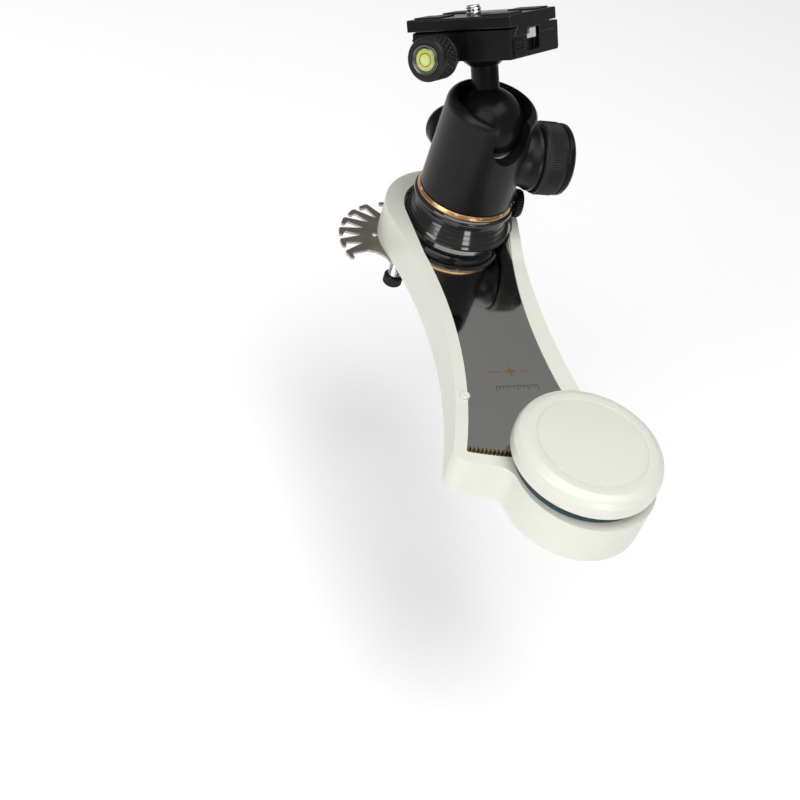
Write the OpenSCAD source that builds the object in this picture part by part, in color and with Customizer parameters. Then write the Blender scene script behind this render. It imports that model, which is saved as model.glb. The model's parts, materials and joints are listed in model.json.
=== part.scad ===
// Clockwork star tracker mount with a ball head and a quick-release plate.
// Origin: mouth of the tripod socket on the underside. +Z: along the polar axis, away from the tripod.

/* [Tracker body] */
// Distance from the polar axis to the winding knob axis
axis_span = 150; // [148:0.5:154]
// Height of the steel deck above the underside
deck_z = 14.4; // [14:0.1:18]
// Height of the rim above the deck
rim_h = 2.9; // [2.4:0.1:4]
// Radius of the body around the polar axis
head_r = 30.5; // [30:0.1:32]
// Radius of the body around the winding knob
pod_r = 27.7; // [27:0.1:30]
// Wall between the outside and the lower cavity
wall = 2.2; // [1.8:0.1:2.6]
// Width of the rim around the open deck
rim_w = 4.8; // [4.4:0.1:5.4]
// Radius of the body's blunt end about the polar axis
end_r = 150.3; // [150:0.1:151]
// Thickness of the bottom cover
cover_t = 2; // [1.5:0.1:2.5]

/* [Drive] */
// Tooth module of the sector and the pinion
gear_module = 0.6; // [0.6:0.1:0.6]
// Teeth on the pinion
pinion_teeth = 20; // [20:1:20]
// Thickness of the toothed steel deck
deck_t = 3; // [2.5:0.1:3]
// Angle the deck turns in one hour
track_angle = 15; // [10:1:15]

/* [Winding knob] */
// Radius of the knob
knob_r = 28.5; // [27:0.1:30]
// Underside of the knob above the deck
knob_low = 7.9; // [7.6:0.1:9]
// Top of the knob above the deck
knob_top = 16.9; // [16:0.1:19]
// Rounding of the knob's top edge
knob_round = 6.5; // [5:0.1:7]

/* [Ball head] */
// Radius of the ball
ball_r = 15; // [15:0.1:15]
// Height of the ball's centre above the deck
ball_z = 50; // [50:0.1:50]
// Radius of the stem
stem_r = 5.75; // [5.2:0.05:5.8]
// Width of the drop notch
notch_w = 16; // [15:0.1:16.4]
// Direction of the drop notch around the polar axis
notch_az = 12; // [8:1:16]
// Direction of the ball lock knob around the polar axis
lock_az = 86; // [84:1:96]
// Direction of the ball friction knob around the polar axis
friction_az = 188; // [180:1:240]
// Direction of the pan lock knob around the polar axis
pan_az = 80; // [76:1:86]
// Lean of the stem from the polar axis
lean = 30.4; // [28:0.1:32]
// Direction the stem leans away from
lean_az = 19.2; // [16:0.1:22]
// Turn of the clamp about the stem
clamp_turn = 20.3; // [0:0.1:60]

/* [Clamp and plate] */
// Length of the quick-release plate
plate_l = 47.2; // [47:0.1:50]
// Width of the quick-release plate
plate_w = 39.8; // [39:0.1:41]
// Top of the plate above the ball's centre
plate_top = 43.7; // [43.5:0.1:44]
// Radius of the clamp knob
grip_r = 8.6; // [8:0.1:9]

/* [Spring comb] */
// Radius of the comb to the tips of its fingers
comb_r = 29.1; // [28:0.1:30]
// Radius of the comb to the roots of its fingers
comb_root_r = 19.3; // [18:0.1:20]
// Angle from one finger to the next
comb_pitch = 16.5; // [16.2:0.1:16.8]
// Thickness of the comb
comb_t = 1.2; // [1:0.1:1.5]

/* [Mounts] */
// Radius of the three-eighths inch tripod socket
tripod_r = 4.7625; // [4.7625:0.0001:4.7625]
// Radius of the quarter inch accessory socket
accessory_r = 3.175; // [3.175:0.001:3.175]
// Radius of the quarter inch camera stud
stud_r = 3.175; // [3.175:0.001:3.175]

/* [Show] */
// Sub-part to draw

/* [Hidden] */
$fn = 96;
eps = 0.02;
far = 400;
run = 0.05;
polar_x = -55;
polar_y = 6;
socket_x = 55;
socket_y = -6;
accessory_x = 82;
head_c = [0, -3];
pod_c = [152, 1];
corner_c = [138.7, -41];
corner_r = 5.5;
waist_l_r = 230;
waist_r_r = 350;
fillet_l_r = 8;
fillet_r_r = 14;
deck_open_r = 25;
open_arc_r = 250;
open_arc_c = [92, 258.9];
pitch_r = gear_module * pinion_teeth / 2;
sector_r = axis_span - pitch_r;
teeth_full = pinion_teeth * sector_r / pitch_r;
tooth_step = 360 / teeth_full;
tip_add = 0.5;
root_sub = 0.8;
first_tooth = -22;
last_tooth = 6;
slot_r = sector_r + 1.2;
open_end_r = sector_r + 1.4;
step_z = -5.5;
bed_t = 2;
lug_top = -3.4;
screw_r = 1.5;
lugs = [[-17, -18.5], [18, 16.5], [45, -22], [60, 10.5], [99, -28], [108, 8.5], [132.5, -37.9],
        [165.9, 17.65], [170.26, -10.77]];
lug_r = 4.2;
thumb_c = [11, -27.4];
thumb_boss_r = 5.5;
timer_r = 18.6;
timer_low = -12.3;
timer_top = -3.6;
barrel_r = 9.5;
wheel_off = 13.45;
third_r = 3.8;
escape_r = 3.23;
shaft_r = 8;
flange_r = 17;
spigot_r = 12;
head_low = 16;
lock_z = 34.5;
friction_z = 29.7;
pan_z = 11.6;
cup_r = 14.4;
cup_top = 41;
neck_r = 2.5;
stud_l = 3.4;
grip_e = -5.8;
grip_k = 29.7;
jaw_low = -22.6;
jaw_high = 23.3;
seat = [50, 24];
seat_proud = 0.3;
comb_c = [0.2, -22.6];
comb_first = 283.9;
comb_gap = 5.9;
comb_eye = [-5, -34.5];
peg_c = [112, -33.8];
peg_r = 2;
white = [0.93, 0.93, 0.89];
black = [0.05, 0.05, 0.055];
steel = [0.72, 0.72, 0.7];
mirror_steel = [0.5, 0.5, 0.49];
bronze = [0.72, 0.53, 0.3];
gold = [0.85, 0.56, 0.3];
zinc = [0.75, 0.77, 0.8];
teal = [0.06, 0.13, 0.15];

// ---- helpers ----

// Centre at distance a from p and b from q, on the side given by s.
function bridge(p, q, a, b, s) =
    let (d = norm(q - p))
    let (along = (a * a - b * b + d * d) / (2 * d))
    let (off = sqrt(a * a - along * along))
    let (dir = (q - p) / d)
    p + dir * along + [-dir[1], dir[0]] * off * s;

waist_l_c = bridge(head_c, corner_c, waist_l_r + head_r, waist_l_r + corner_r, -1);
waist_r_c = [95, head_c[1] + sqrt(pow(waist_r_r + head_r, 2) - 95 * 95)];
fillet_l_c = bridge([0, 0], pod_c, end_r + fillet_l_r, pod_r + fillet_l_r, -1);
fillet_r_c = bridge(waist_r_c, pod_c, waist_r_r - fillet_r_r, pod_r + fillet_r_r, -1);

module at_polar() {
    translate([polar_x, polar_y, deck_z])
        children();
}

module at_knob() {
    at_polar()
        translate([axis_span, 0, 0])
            children();
}

// Frame of a radial knob: +Z runs outward at direction az and height z.
module at_side(az, z) {
    at_polar()
        translate([0, 0, z])
            rotate([0, 0, az])
                rotate([0, 90, 0])
                    children();
}

// Frame of the stem: origin at the ball's centre, +Z along the stem.
module at_stem() {
    at_polar()
        translate([0, 0, ball_z])
            rotate([0, 0, lean_az])
                rotate([0, -lean, 0])
                    children();
}

// Frame of the clamp: X along the dovetail, -Y towards the clamp knob.
module at_clamp() {
    at_stem()
        rotate([0, 0, clamp_turn])
            children();
}

// Frame of the clamp knob: +Z runs out of the clamp, X stays along the dovetail.
module at_grip() {
    at_clamp()
        translate([grip_e, 0, grip_k])
            rotate([90, 0, 0])
                children();
}

module tube(r_out, r_in, h) {
    difference() {
        cylinder(r = r_out, h = h);
        translate([0, 0, -1])
            cylinder(r = r_in, h = h + 2);
    }
}

module slab(z0, z1) {
    translate([0, 0, z0])
        linear_extrude(height = z1 - z0)
            children();
}

// Points of an arc about c, leaving out the last one.
function arc(c, r, a0, a1, n) = [for (i = [0 : n - 1]) c + r * dir(a0 + (a1 - a0) * i / n)];
function dir(a) = [cos(a), sin(a)];
function heading(p, q) = atan2(q[1] - p[1], q[0] - p[0]);

// Outline of the body, drawn in by inset: eight arcs that run into each other.
module outline(inset) {
    polygon(concat(
        arc(head_c, head_r - inset, heading(head_c, waist_r_c), heading(head_c, waist_l_c) + 360, 40),
        arc(waist_l_c, waist_l_r + inset, heading(waist_l_c, head_c), heading(waist_l_c, corner_c), 18),
        arc(corner_c, corner_r - inset, heading(corner_c, waist_l_c), heading([0, 0], corner_c), 8),
        arc([0, 0], end_r - inset, heading([0, 0], corner_c), heading([0, 0], fillet_l_c), 4),
        arc(fillet_l_c, fillet_l_r + inset, heading(fillet_l_c, [0, 0]), heading(fillet_l_c, pod_c), 8),
        arc(pod_c, pod_r - inset, heading(pod_c, fillet_l_c), heading(pod_c, fillet_r_c), 40),
        arc(fillet_r_c, fillet_r_r + inset, heading(fillet_r_c, pod_c), heading(waist_r_c, fillet_r_c), 8),
        arc(waist_r_c, waist_r_r + inset, heading(waist_r_c, fillet_r_c), heading(waist_r_c, head_c), 18)));
}

// Outline of the open window over the deck.
module deck_window() {
    difference() {
        union() {
            circle(r = deck_open_r);
            intersection() {
                outline(rim_w);
                circle(r = open_end_r);
                polygon([[0, -deck_open_r], [40, -deck_open_r], [axis_span, -60], [axis_span, 40], [0, 40]]);
            }
        }
        translate(open_arc_c)
            circle(r = open_arc_r, $fn = 360);
    }
}

// Sector swept by the deck where it leaves the right side of the body.
module side_slot() {
    intersection() {
        difference() {
            circle(r = slot_r);
            circle(r = deck_open_r - 1);
        }
        polygon([[0, 0], [far, -20], [far, 200], [35, 200]]);
    }
}

// ---- body ----

module housing() {
    color(white)
        at_polar()
            difference() {
                union() {
                    difference() {
                        slab(-deck_z, rim_h)
                            outline(0);
                        slab(-deck_z - 1, step_z)
                            outline(wall);
                        slab(step_z - eps, 0.25)
                            outline(wall + 1);
                    }
                    intersection() {
                        slab(-deck_z, lug_top)
                            outline(0);
                        union() {
                            for (p = lugs)
                                translate([p[0], p[1], step_z])
                                    cylinder(r = lug_r, h = lug_top - step_z);
                            translate([thumb_c[0], thumb_c[1], -deck_z])
                                cylinder(r = thumb_boss_r, h = deck_z + step_z);
                        }
                    }
                }
                slab(0, rim_h + 1)
                    deck_window();
                slab(-3.3, 0.25)
                    side_slot();
                translate([axis_span, 0, -3.5])
                    cylinder(r = 7.4, h = 10);
                translate([peg_c[0], peg_c[1], 0])
                    cylinder(r = peg_r + 0.02, h = 10);
                for (p = lugs)
                    translate([p[0], p[1], step_z - 1])
                        cylinder(r = screw_r, h = lug_top - step_z + 0.5);
                translate([thumb_c[0], thumb_c[1], -deck_z - 1])
                    cylinder(r = 3.4, h = 8);
            }
}

module base_cover() {
    color(black)
        at_polar()
            difference() {
                union() {
                    slab(-deck_z, -deck_z + cover_t)
                        outline(wall + 0.1);
                    for (p = lugs)
                        translate([p[0], p[1], -deck_z + 1])
                            cylinder(r = 3.6, h = deck_z + step_z - bed_t - 1.05);
                    translate([socket_x, socket_y, -deck_z + 1])
                        cylinder(r = 11, h = deck_z + step_z - bed_t - 1.05);
                    translate([accessory_x, socket_y, -deck_z + 1])
                        cylinder(r = 8, h = deck_z + step_z - bed_t - 1.05);
                }
                for (p = lugs)
                    translate([p[0], p[1], -deck_z - 1]) {
                        cylinder(r = screw_r + 0.2, h = deck_z);
                        cylinder(r = 3, h = 2.8);
                    }
                translate([socket_x, socket_y, -deck_z - 1])
                    cylinder(r = 8, h = deck_z);
                translate([accessory_x, socket_y, -deck_z - 1])
                    cylinder(r = 5.5, h = deck_z);
                translate([0, 0, -deck_z - 1])
                    cylinder(r = 13.5, h = 5);
                translate([thumb_c[0], thumb_c[1], -deck_z - 1])
                    cylinder(r = thumb_boss_r + 0.2, h = deck_z);
                slab(-deck_z - 1, -deck_z + seat_proud)
                    difference() {
                        outline(0);
                        translate([(socket_x + accessory_x - seat[0]) / 2, socket_y - seat[1] / 2])
                            square(seat);
                    }
            }
}

module case_screws() {
    color(steel)
        at_polar()
            for (p = lugs)
                translate([p[0], p[1], -deck_z + 0.4]) {
                    cylinder(r = screw_r - run, h = deck_z + lug_top - 1.2);
                    difference() {
                        cylinder(r = 2.9, h = 1.4);
                        translate([0, 0, -1])
                            cylinder(r = 1.25, h = 2, $fn = 6);
                    }
                }
}

module bed_plate() {
    color(steel)
        at_polar()
            difference() {
                slab(step_z - bed_t, step_z)
                    intersection() {
                        outline(wall + 0.15);
                        polygon([[-40, -60], [126, -60], [126, 60], [-40, 60]]);
                    }
                translate([0, 0, -10])
                    cylinder(r = 12, h = 10);
                for (p = lugs)
                    translate([p[0], p[1], -10])
                        cylinder(r = screw_r + 0.2, h = 10);
                translate([thumb_c[0], thumb_c[1], -10])
                    cylinder(r = thumb_boss_r + 0.2, h = 10);
            }
}

module polar_bearing() {
    color(bronze)
        at_polar()
            difference() {
                union() {
                    translate([0, 0, -12.2])
                        cylinder(r = 12, h = 7.2);
                    translate([0, 0, step_z])
                        cylinder(r = 15, h = 0.5);
                }
                translate([0, 0, -20])
                    cylinder(r = shaft_r + run, h = 30);
            }
}

module tripod_socket() {
    color(zinc)
        at_polar()
            translate([socket_x, socket_y, -deck_z])
                difference() {
                    cylinder(r = 7.95, h = 6.8);
                    translate([0, 0, -1])
                        cylinder(r = tripod_r, h = 9);
                }
}

module accessory_socket() {
    color(zinc)
        at_polar()
            translate([accessory_x, socket_y, -deck_z])
                difference() {
                    cylinder(r = 5.45, h = 6.8);
                    translate([0, 0, -1])
                        cylinder(r = accessory_r, h = 9);
                }
}

module thumb_insert() {
    color(bronze)
        at_polar()
            translate([thumb_c[0], thumb_c[1], -deck_z])
                tube(3.35, 2.55, 6.9);
}

module stop_peg() {
    color(white)
        at_polar()
            translate([peg_c[0], peg_c[1], 0.3]) {
                cylinder(r = peg_r, h = rim_h + 0.1);
                translate([0, 0, rim_h + 0.1])
                    cylinder(r1 = peg_r, r2 = peg_r - 0.6, h = 0.6);
            }
}

module dial_ring() {
    color(teal)
        at_knob()
            translate([0, 0, rim_h]) {
                tube(24.6, 15, 3.2);
                translate([0, 0, 3.2])
                    difference() {
                        cylinder(r1 = 24.6, r2 = 23.6, h = 1);
                        translate([0, 0, -1])
                            cylinder(r = 15, h = 3);
                    }
            }
}

module timer_case() {
    color(steel)
        at_knob()
            translate([0, 0, timer_low])
                difference() {
                    cylinder(r = timer_r, h = timer_top - timer_low - 1);
                    translate([0, 0, 0.8])
                        cylinder(r = timer_r - 1, h = 20);
                    translate([0, 0, -1])
                        cylinder(r = 3.05, h = 5);
                }
}

module timer_plate() {
    color(bronze)
        at_knob()
            translate([0, 0, timer_top - 1])
                difference() {
                    cylinder(r = timer_r, h = 1);
                    translate([0, 0, -1])
                        cylinder(r = 3.05, h = 3);
                }
}

// ---- winder ----

module winding_cap() {
    color(white)
        at_knob()
            rotate_extrude()
                polygon(concat([[3.02, knob_top - 1.5], [0, knob_top - 1.5], [0, knob_top],
                                [20.7, knob_top], [20.7, knob_top - 0.25], [21.2, knob_top - 0.25],
                                [21.2, knob_top]],
                               [for (a = [90 : -10 : 0])
                                   [knob_r - knob_round, knob_top - knob_round] + knob_round * dir(a)],
                               [[knob_r, knob_low], [knob_r - 2.5, knob_low],
                                [knob_r - 2.5, knob_low + 2.6], [knob_r - 5, knob_low + 5.6],
                                [8, knob_low + 5.6], [8, knob_low + 4], [3.02, knob_low + 4]]));
}

module winder_shaft() {
    color(steel)
        at_knob()
            translate([0, 0, timer_low + 0.1])
                cylinder(r = 3, h = knob_top - timer_low - 1.7);
}

module drive_pinion() {
    color(bronze)
        at_knob()
            difference() {
                slab(-3.1, 0.1)
                    union() {
                        circle(r = pitch_r - root_sub);
                        for (i = [0 : pinion_teeth - 1])
                            rotate([0, 0, 180 + i * 360 / pinion_teeth])
                                polygon([[pitch_r - root_sub - 0.3, -0.54],
                                         [pitch_r + tip_add, -0.19],
                                         [pitch_r + tip_add, 0.19],
                                         [pitch_r - root_sub - 0.3, 0.54]]);
                    }
                translate([0, 0, -5])
                    cylinder(r = 3.02, h = 10);
            }
}

module mainspring_barrel() {
    color(bronze)
        at_knob()
            difference() {
                translate([0, 0, -11])
                    cylinder(r = barrel_r, h = 5.8);
                translate([0, 0, -10.2])
                    cylinder(r = barrel_r - 1, h = 4.2);
                translate([0, 0, -12])
                    cylinder(r = 3.02, h = 10);
            }
}

module mainspring() {
    color(steel)
        at_knob()
            for (r = [3.9 : 1.05 : 8.1])
                translate([0, 0, -10.1])
                    tube(r + 0.35, r, 4);
}

module third_wheel() {
    color(bronze)
        at_knob()
            rotate([0, 0, 120])
                translate([wheel_off, 0, -11.4]) {
                    cylinder(r = 0.8, h = 6.7);
                    translate([0, 0, 2])
                        cylinder(r = third_r, h = 1.2);
                }
}

module escape_wheel() {
    color(bronze)
        at_knob()
            rotate([0, 0, 220])
                translate([barrel_r + escape_r + 0.15, 0, -11.4]) {
                    cylinder(r = 0.7, h = 6.7);
                    translate([0, 0, 3.4])
                        cylinder(r = escape_r, h = 1);
                }
}

// ---- polar drive ----

module sector_deck() {
    color(mirror_steel)
        at_polar()
            difference() {
                slab(-deck_t, 0)
                    union() {
                        circle(r = deck_open_r - 2);
                        intersection() {
                            outline(wall + 1.3);
                            circle(r = sector_r - root_sub, $fn = 360);
                            polygon([[0, 0], [12, -40], [axis_span, -axis_span * tan(17)],
                                     [axis_span, axis_span * tan(5.2)], [95, 12], [20, 40]]);
                        }
                        for (i = [first_tooth : last_tooth])
                            rotate([0, 0, (i + 0.5) * tooth_step])
                                polygon([[sector_r - root_sub - 0.4, -0.62],
                                         [sector_r + tip_add, -0.21],
                                         [sector_r + tip_add, 0.21],
                                         [sector_r - root_sub - 0.4, 0.62]]);
                    }
                translate([0, 0, -10])
                    cylinder(r = 10, h = 20);
                for (i = [0 : 3])
                    rotate([0, 0, 45 + 90 * i])
                        translate([13.5, 0, -10]) {
                            cylinder(r = 1.7, h = 20);
                            translate([0, 0, 8.6])
                                cylinder(r = 2.9, h = 5);
                        }
            }
}

module polar_shaft() {
    color(steel)
        at_polar()
            difference() {
                union() {
                    translate([0, 0, -14.2])
                        cylinder(r = 6, h = 5);
                    translate([0, 0, -12.25])
                        cylinder(r = shaft_r, h = 10);
                    translate([0, 0, -4.5])
                        cylinder(r = flange_r, h = 4.5 - deck_t);
                    translate([0, 0, -deck_t])
                        cylinder(r = 9.95, h = deck_t);
                    cylinder(r = 4.7, h = 9);
                }
                for (i = [0 : 3])
                    rotate([0, 0, 45 + 90 * i])
                        translate([13.5, 0, -10])
                            cylinder(r = screw_r, h = 20);
            }
}

module shaft_screws() {
    color(steel)
        at_polar()
            for (i = [0 : 3])
                rotate([0, 0, 45 + 90 * i])
                    translate([13.5, 0, 0]) {
                        translate([0, 0, -4.4])
                            cylinder(r = screw_r - run, h = 4);
                        translate([0, 0, -1.35])
                            cylinder(r = 2.8, h = 1.3);
                    }
}

module thrust_washer() {
    color(bronze)
        at_polar()
            translate([0, 0, -4.98])
                tube(flange_r - 1, shaft_r + 0.1, 0.45);
}

module retaining_nut() {
    color(steel)
        at_polar()
            translate([0, 0, -14.2])
                difference() {
                    cylinder(r = 12.5, h = 1.9);
                    translate([0, 0, -1])
                        cylinder(r = 6.03, h = 5);
                    for (i = [0 : 3])
                        rotate([0, 0, 90 * i])
                            translate([9.2, 0, -1])
                                cylinder(r = 1.2, h = 2.2);
                }
}

// ---- ball head ----

module head_base() {
    color(black)
        at_polar()
            difference() {
                rotate_extrude()
                    union() {
                        polygon([[4.75, 0.02], [24, 0.02], [24, 1.1], [22.4, 2.1], [20.4, 4.6],
                                 [19.7, 7.2], [19.7, 8.6], [21.6, 9], [21.6, 10], [20.8, 10.4],
                                 [20.8, 10.9], [22, 11.2], [22, 13.2], [20.6, 14.1],
                                 [spigot_r, 14.1], [spigot_r, 24], [4.75, 24]]);
                        translate([21.3, 12.2])
                            circle(r = 1.35);
                    }
                rotate([0, 0, pan_az])
                    translate([0, 0, pan_z])
                        rotate([0, 90, 0])
                            translate([0, 0, 10])
                                cylinder(r = 2.05, h = 20);
            }
}

module pan_scale() {
    color(gold)
        at_polar()
            rotate_extrude()
                polygon([[spigot_r + 0.03, 14.12], [21.6, 14.12], [21.5, 14.5], [20.8, 15.9],
                         [spigot_r + 0.03, 15.9]]);
}

module pan_ring() {
    color(steel)
        at_polar()
            difference() {
                translate([0, 0, 24.1])
                    cylinder(r = 13.6, h = 1.6);
                translate([0, 0, 20])
                    cylinder(r = 2.5, h = 10, $fn = 6);
            }
}

module pan_knob() {
    color(black)
        at_side(pan_az, pan_z)
            rotate_extrude()
                polygon([[0, 22.8], [5.6, 22.8], [6.4, 23.6], [6.4, 25.6], [5.5, 26.5], [0, 26.5]]);
}

module pan_screw() {
    color(steel)
        at_side(pan_az, pan_z)
            translate([0, 0, 10.2])
                cylinder(r = 2, h = 12.6);
}

module head_housing() {
    color(black)
        at_polar()
            difference() {
                union() {
                    rotate_extrude()
                        union() {
                            polygon([[0, head_low], [20.2, head_low], [20.7, head_low + 0.6],
                                     [19.65, 56], [14.8, 60.9], [0, 60.9]]);
                            translate([14.75, 56])
                                circle(r = 4.9);
                        }
                    rotate([0, 0, lock_az])
                        translate([0, 0, lock_z])
                            rotate([0, 90, 0])
                                rotate_extrude()
                                    polygon([[0, 0], [12.6, 0], [12.6, 18], [13, 20.6], [14.1, 23],
                                             [14.4, 23.4], [14.4, 24.6], [13.9, 25.1], [0, 25.1]]);
                    rotate([0, 0, friction_az])
                        translate([0, 0, friction_z])
                            rotate([0, 90, 0])
                                cylinder(r = 6, h = 21.4);
                }
                translate([0, 0, 10])
                    cylinder(r = spigot_r + run, h = 20);
                translate([0, 0, 24])
                    cylinder(r = cup_r + 0.1, h = 22);
                translate([0, 0, ball_z])
                    sphere(r = ball_r + run);
                translate([0, 0, ball_z + 4.4])
                    cylinder(r1 = 14.2, r2 = 16.9, h = 7);
                rotate([0, 0, notch_az]) {
                    translate([0, 0, ball_z])
                        rotate([0, 90, 0])
                            cylinder(r = notch_w / 2, h = 40);
                    translate([0, -notch_w / 2, ball_z])
                        cube([40, notch_w, 30]);
                    translate([0, 0, 61])
                        rotate([0, 8, 0])
                            translate([0, -40, 0])
                                cube([60, 80, 20]);
                }
                rotate([0, 0, lock_az])
                    translate([0, 0, lock_z])
                        rotate([0, 90, 0])
                            cylinder(r = 4.1, h = 40);
                rotate([0, 0, friction_az])
                    translate([0, 0, friction_z])
                        rotate([0, 90, 0])
                            cylinder(r = 2.6, h = 40);
            }
}

module ball_cup() {
    color([0.85, 0.85, 0.82])
        at_polar()
            difference() {
                translate([0, 0, 30.5])
                    cylinder(r = cup_r, h = cup_top - 30.5);
                translate([0, 0, ball_z])
                    sphere(r = ball_r + run);
                translate([0, 0, 25])
                    cylinder(r = 4, h = 20);
            }
}

module cup_spring() {
    color(steel)
        at_polar()
            for (z = [26.4 : 1.3 : 30])
                translate([0, 0, z])
                    rotate_extrude()
                        translate([11, 0])
                            circle(r = 0.6);
}

module lock_pusher() {
    color(bronze)
        at_side(lock_az, lock_z)
            translate([0, 0, cup_r + 0.15])
                cylinder(r = 4.08, h = 7.4);
}

module lock_grip() {
    color(black)
        at_side(lock_az, lock_z)
            rotate_extrude()
                polygon([[3.02, 25.3], [14.2, 25.3], [15.3, 25.8], [15.9, 26.9], [15.9, 35],
                         [15.2, 35.3], [15.2, 36], [3.02, 36]]);
}

module lock_cap() {
    color(black)
        at_side(lock_az, lock_z)
            rotate_extrude()
                polygon([[0, 36.05], [15.3, 36.05], [15.6, 36.4], [15.5, 38.2], [14.6, 39.4],
                         [10, 39.8], [0, 39.8]]);
}

module lock_screw() {
    color(steel)
        at_side(lock_az, lock_z)
            translate([0, 0, 22.1])
                cylinder(r = 3, h = 13.9);
}

module friction_grip() {
    color(black)
        at_side(friction_az, friction_z)
            rotate_extrude()
                polygon([[2.52, 21.6], [8.8, 21.6], [10.3, 22.4], [10.7, 23.6], [10.7, 28.6],
                         [10, 30.2], [8.4, 31.2], [2.52, 31.2]]);
}

module friction_screw() {
    color(steel)
        at_side(friction_az, friction_z)
            translate([0, 0, 15.2])
                cylinder(r = 2.5, h = 15.8);
}

module ball() {
    color(black)
        at_polar()
            translate([0, 0, ball_z])
                sphere(r = ball_r);
}

module stem() {
    color(black)
        at_stem()
            difference() {
                union() {
                    translate([0, 0, 8])
                        cylinder(r = stem_r, h = 15.4);
                    translate([0, 0, 23.3])
                        cylinder(r1 = stem_r, r2 = 10, h = 3.55);
                    translate([0, 0, 26.5])
                        cylinder(r = 4, h = 4.65);
                }
                sphere(r = ball_r + run);
            }
}

module stem_screw() {
    color(steel)
        at_stem()
            difference() {
                translate([0, 0, 31.2])
                    cylinder(r = 5.7, h = 3.4);
                translate([0, 0, 32.4])
                    cylinder(r = 2.6, h = 5, $fn = 6);
            }
}

// ---- clamp ----

// Length of dovetail section, drawn in the plane across the dovetail.
module along(x0, x1) {
    translate([x0, 0, 0])
        rotate([90, 0, 90])
            linear_extrude(height = x1 - x0)
                children();
}

module clamp_base() {
    color(black)
        at_clamp()
            difference() {
                along(jaw_low, jaw_high)
                    polygon([[-9.5, 26.9], [21, 26.9], [21.8, 27.7], [21.8, 38], [21.3, 38.5],
                             [14.15, 38.5], [17.1, 35.55], [17.1, 35], [-9.5, 35]]);
                translate([0, 0, 20])
                    cylinder(r = 4.05, h = 20);
                translate([0, 0, 31.15])
                    cylinder(r = 6, h = 10);
                translate([grip_e, 0, grip_k])
                    rotate([90, 0, 0])
                        translate([0, 0, 4.4])
                            cylinder(r = 2.25, h = 20);
                for (x = [-16, 16])
                    translate([x, 0, 30.7])
                        rotate([90, 0, 0])
                            translate([0, 0, -4])
                                cylinder(r = 1.5, h = 20);
                translate([21, -6, 29])
                    cube([10, 11, 11]);
            }
}

module jaw_guides() {
    color(steel)
        at_clamp()
            for (x = [-16, 16])
                translate([x, 0, 30.7])
                    rotate([90, 0, 0])
                        translate([0, 0, -3.9])
                            cylinder(r = 1.48, h = 18.4);
}

module clamp_jaw() {
    color(black)
        at_clamp()
            difference() {
                union() {
                    along(jaw_low, jaw_high)
                        polygon([[-9.7, 26.9], [-9.7, 34.9], [-17.1, 34.9], [-17.1, 35.55],
                                 [-14.15, 38.5], [-16.9, 38.5], [-17.6, 37.8], [-17.6, 26.9]]);
                    along(4.2, jaw_high)
                        polygon([[-17, 26.9], [-17, 38.2], [-20, 38.2], [-20, 26.9]]);
                    for (k = [28 : 1.8 : 34])
                        along(jaw_high - 0.3, jaw_high + 0.5)
                            polygon([[-10.4, k - 0.5], [-16.6, k - 0.5],
                                     [-16.6, k + 0.5], [-10.4, k + 0.5]]);
                }
                translate([grip_e, 0, grip_k])
                    rotate([90, 0, 0])
                        cylinder(r = 2.3, h = 40);
                for (x = [-16, 16])
                    translate([x, 0, 30.7])
                        rotate([90, 0, 0])
                            cylinder(r = 1.54, h = 14.8);
            }
}

module clamp_grip() {
    color(black)
        at_grip()
            rotate_extrude()
                polygon([[2.22, 17.7], [5.2, 17.7], [5.2, 24.4], [7.6, 24.4], [grip_r, 25.6],
                         [grip_r, 35.2], [8, 36.4], [6, 36.4], [6, 34.6], [2.22, 34.6]]);
}

module clamp_screw() {
    color(steel)
        at_grip()
            translate([0, 0, 4.5])
                cylinder(r = 2.2, h = 30);
}

module level_bezel() {
    color(zinc)
        at_grip()
            rotate_extrude()
                polygon([[5, 34.6], [5.95, 34.6], [5.95, 36.6], [5.5, 37], [5, 37]]);
}

module level_vial() {
    color([0.72, 0.85, 0.25])
        at_grip()
            translate([0, 0, 34.65])
                cylinder(r = 4.95, h = 1.6);
}

module level_mark() {
    color([0.7, 0.2, 0.12])
        at_grip()
            translate([0, 0, 36.27])
                tube(2.55, 2.2, 0.15);
}

module safety_pin() {
    color(steel)
        at_clamp()
            union() {
                translate([21.6, -2.4, 33.6])
                    cube([1.5, 4.8, 3.9]);
                translate([21.6, -4.9, 33.6])
                    cube([1.5, 2.6, 1.6]);
            }
}

module qr_plate() {
    color(black)
        at_clamp()
            difference() {
                union() {
                    along(-plate_l / 2, plate_l / 2)
                        polygon([[-17, 35.1], [17, 35.1], [17, 35.5], [14, 38.5], [14, 39.1],
                                 [-14, 39.1], [-14, 38.5], [-17, 35.5]]);
                    along(-plate_l / 2, plate_l / 2)
                        polygon([[-plate_w / 2, 39], [plate_w / 2, 39],
                                 [plate_w / 2, plate_top - 0.5], [plate_w / 2 - 0.5, plate_top],
                                 [0.5 - plate_w / 2, plate_top], [-plate_w / 2, plate_top - 0.5]]);
                }
                translate([20.8, -6, 30])
                    cube([10, 11, 7.7]);
                translate([-3.5, 0, 30])
                    cylinder(r = 8.6, h = 9.7);
                translate([5.5, 0, 30])
                    cylinder(r = 8.6, h = 9.7);
                translate([-3.5, -8.6, 30])
                    cube([9, 17.2, 9.7]);
                translate([-3.5, 0, 30])
                    cylinder(r = stud_r + 0.1, h = 20);
                translate([5.5, 0, 30])
                    cylinder(r = stud_r + 0.1, h = 20);
                translate([-3.5, -stud_r - 0.1, 30])
                    cube([9, 2 * stud_r + 0.2, 20]);
            }
}

module qr_pads() {
    color([0.08, 0.08, 0.08])
        at_clamp()
            for (x = [-21.6, 9])
                for (y = [-17, 5.5])
                    translate([x, y, plate_top])
                        cube([x > 0 ? 12.6 : 12.2, 11.5, 0.6]);
}

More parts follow.
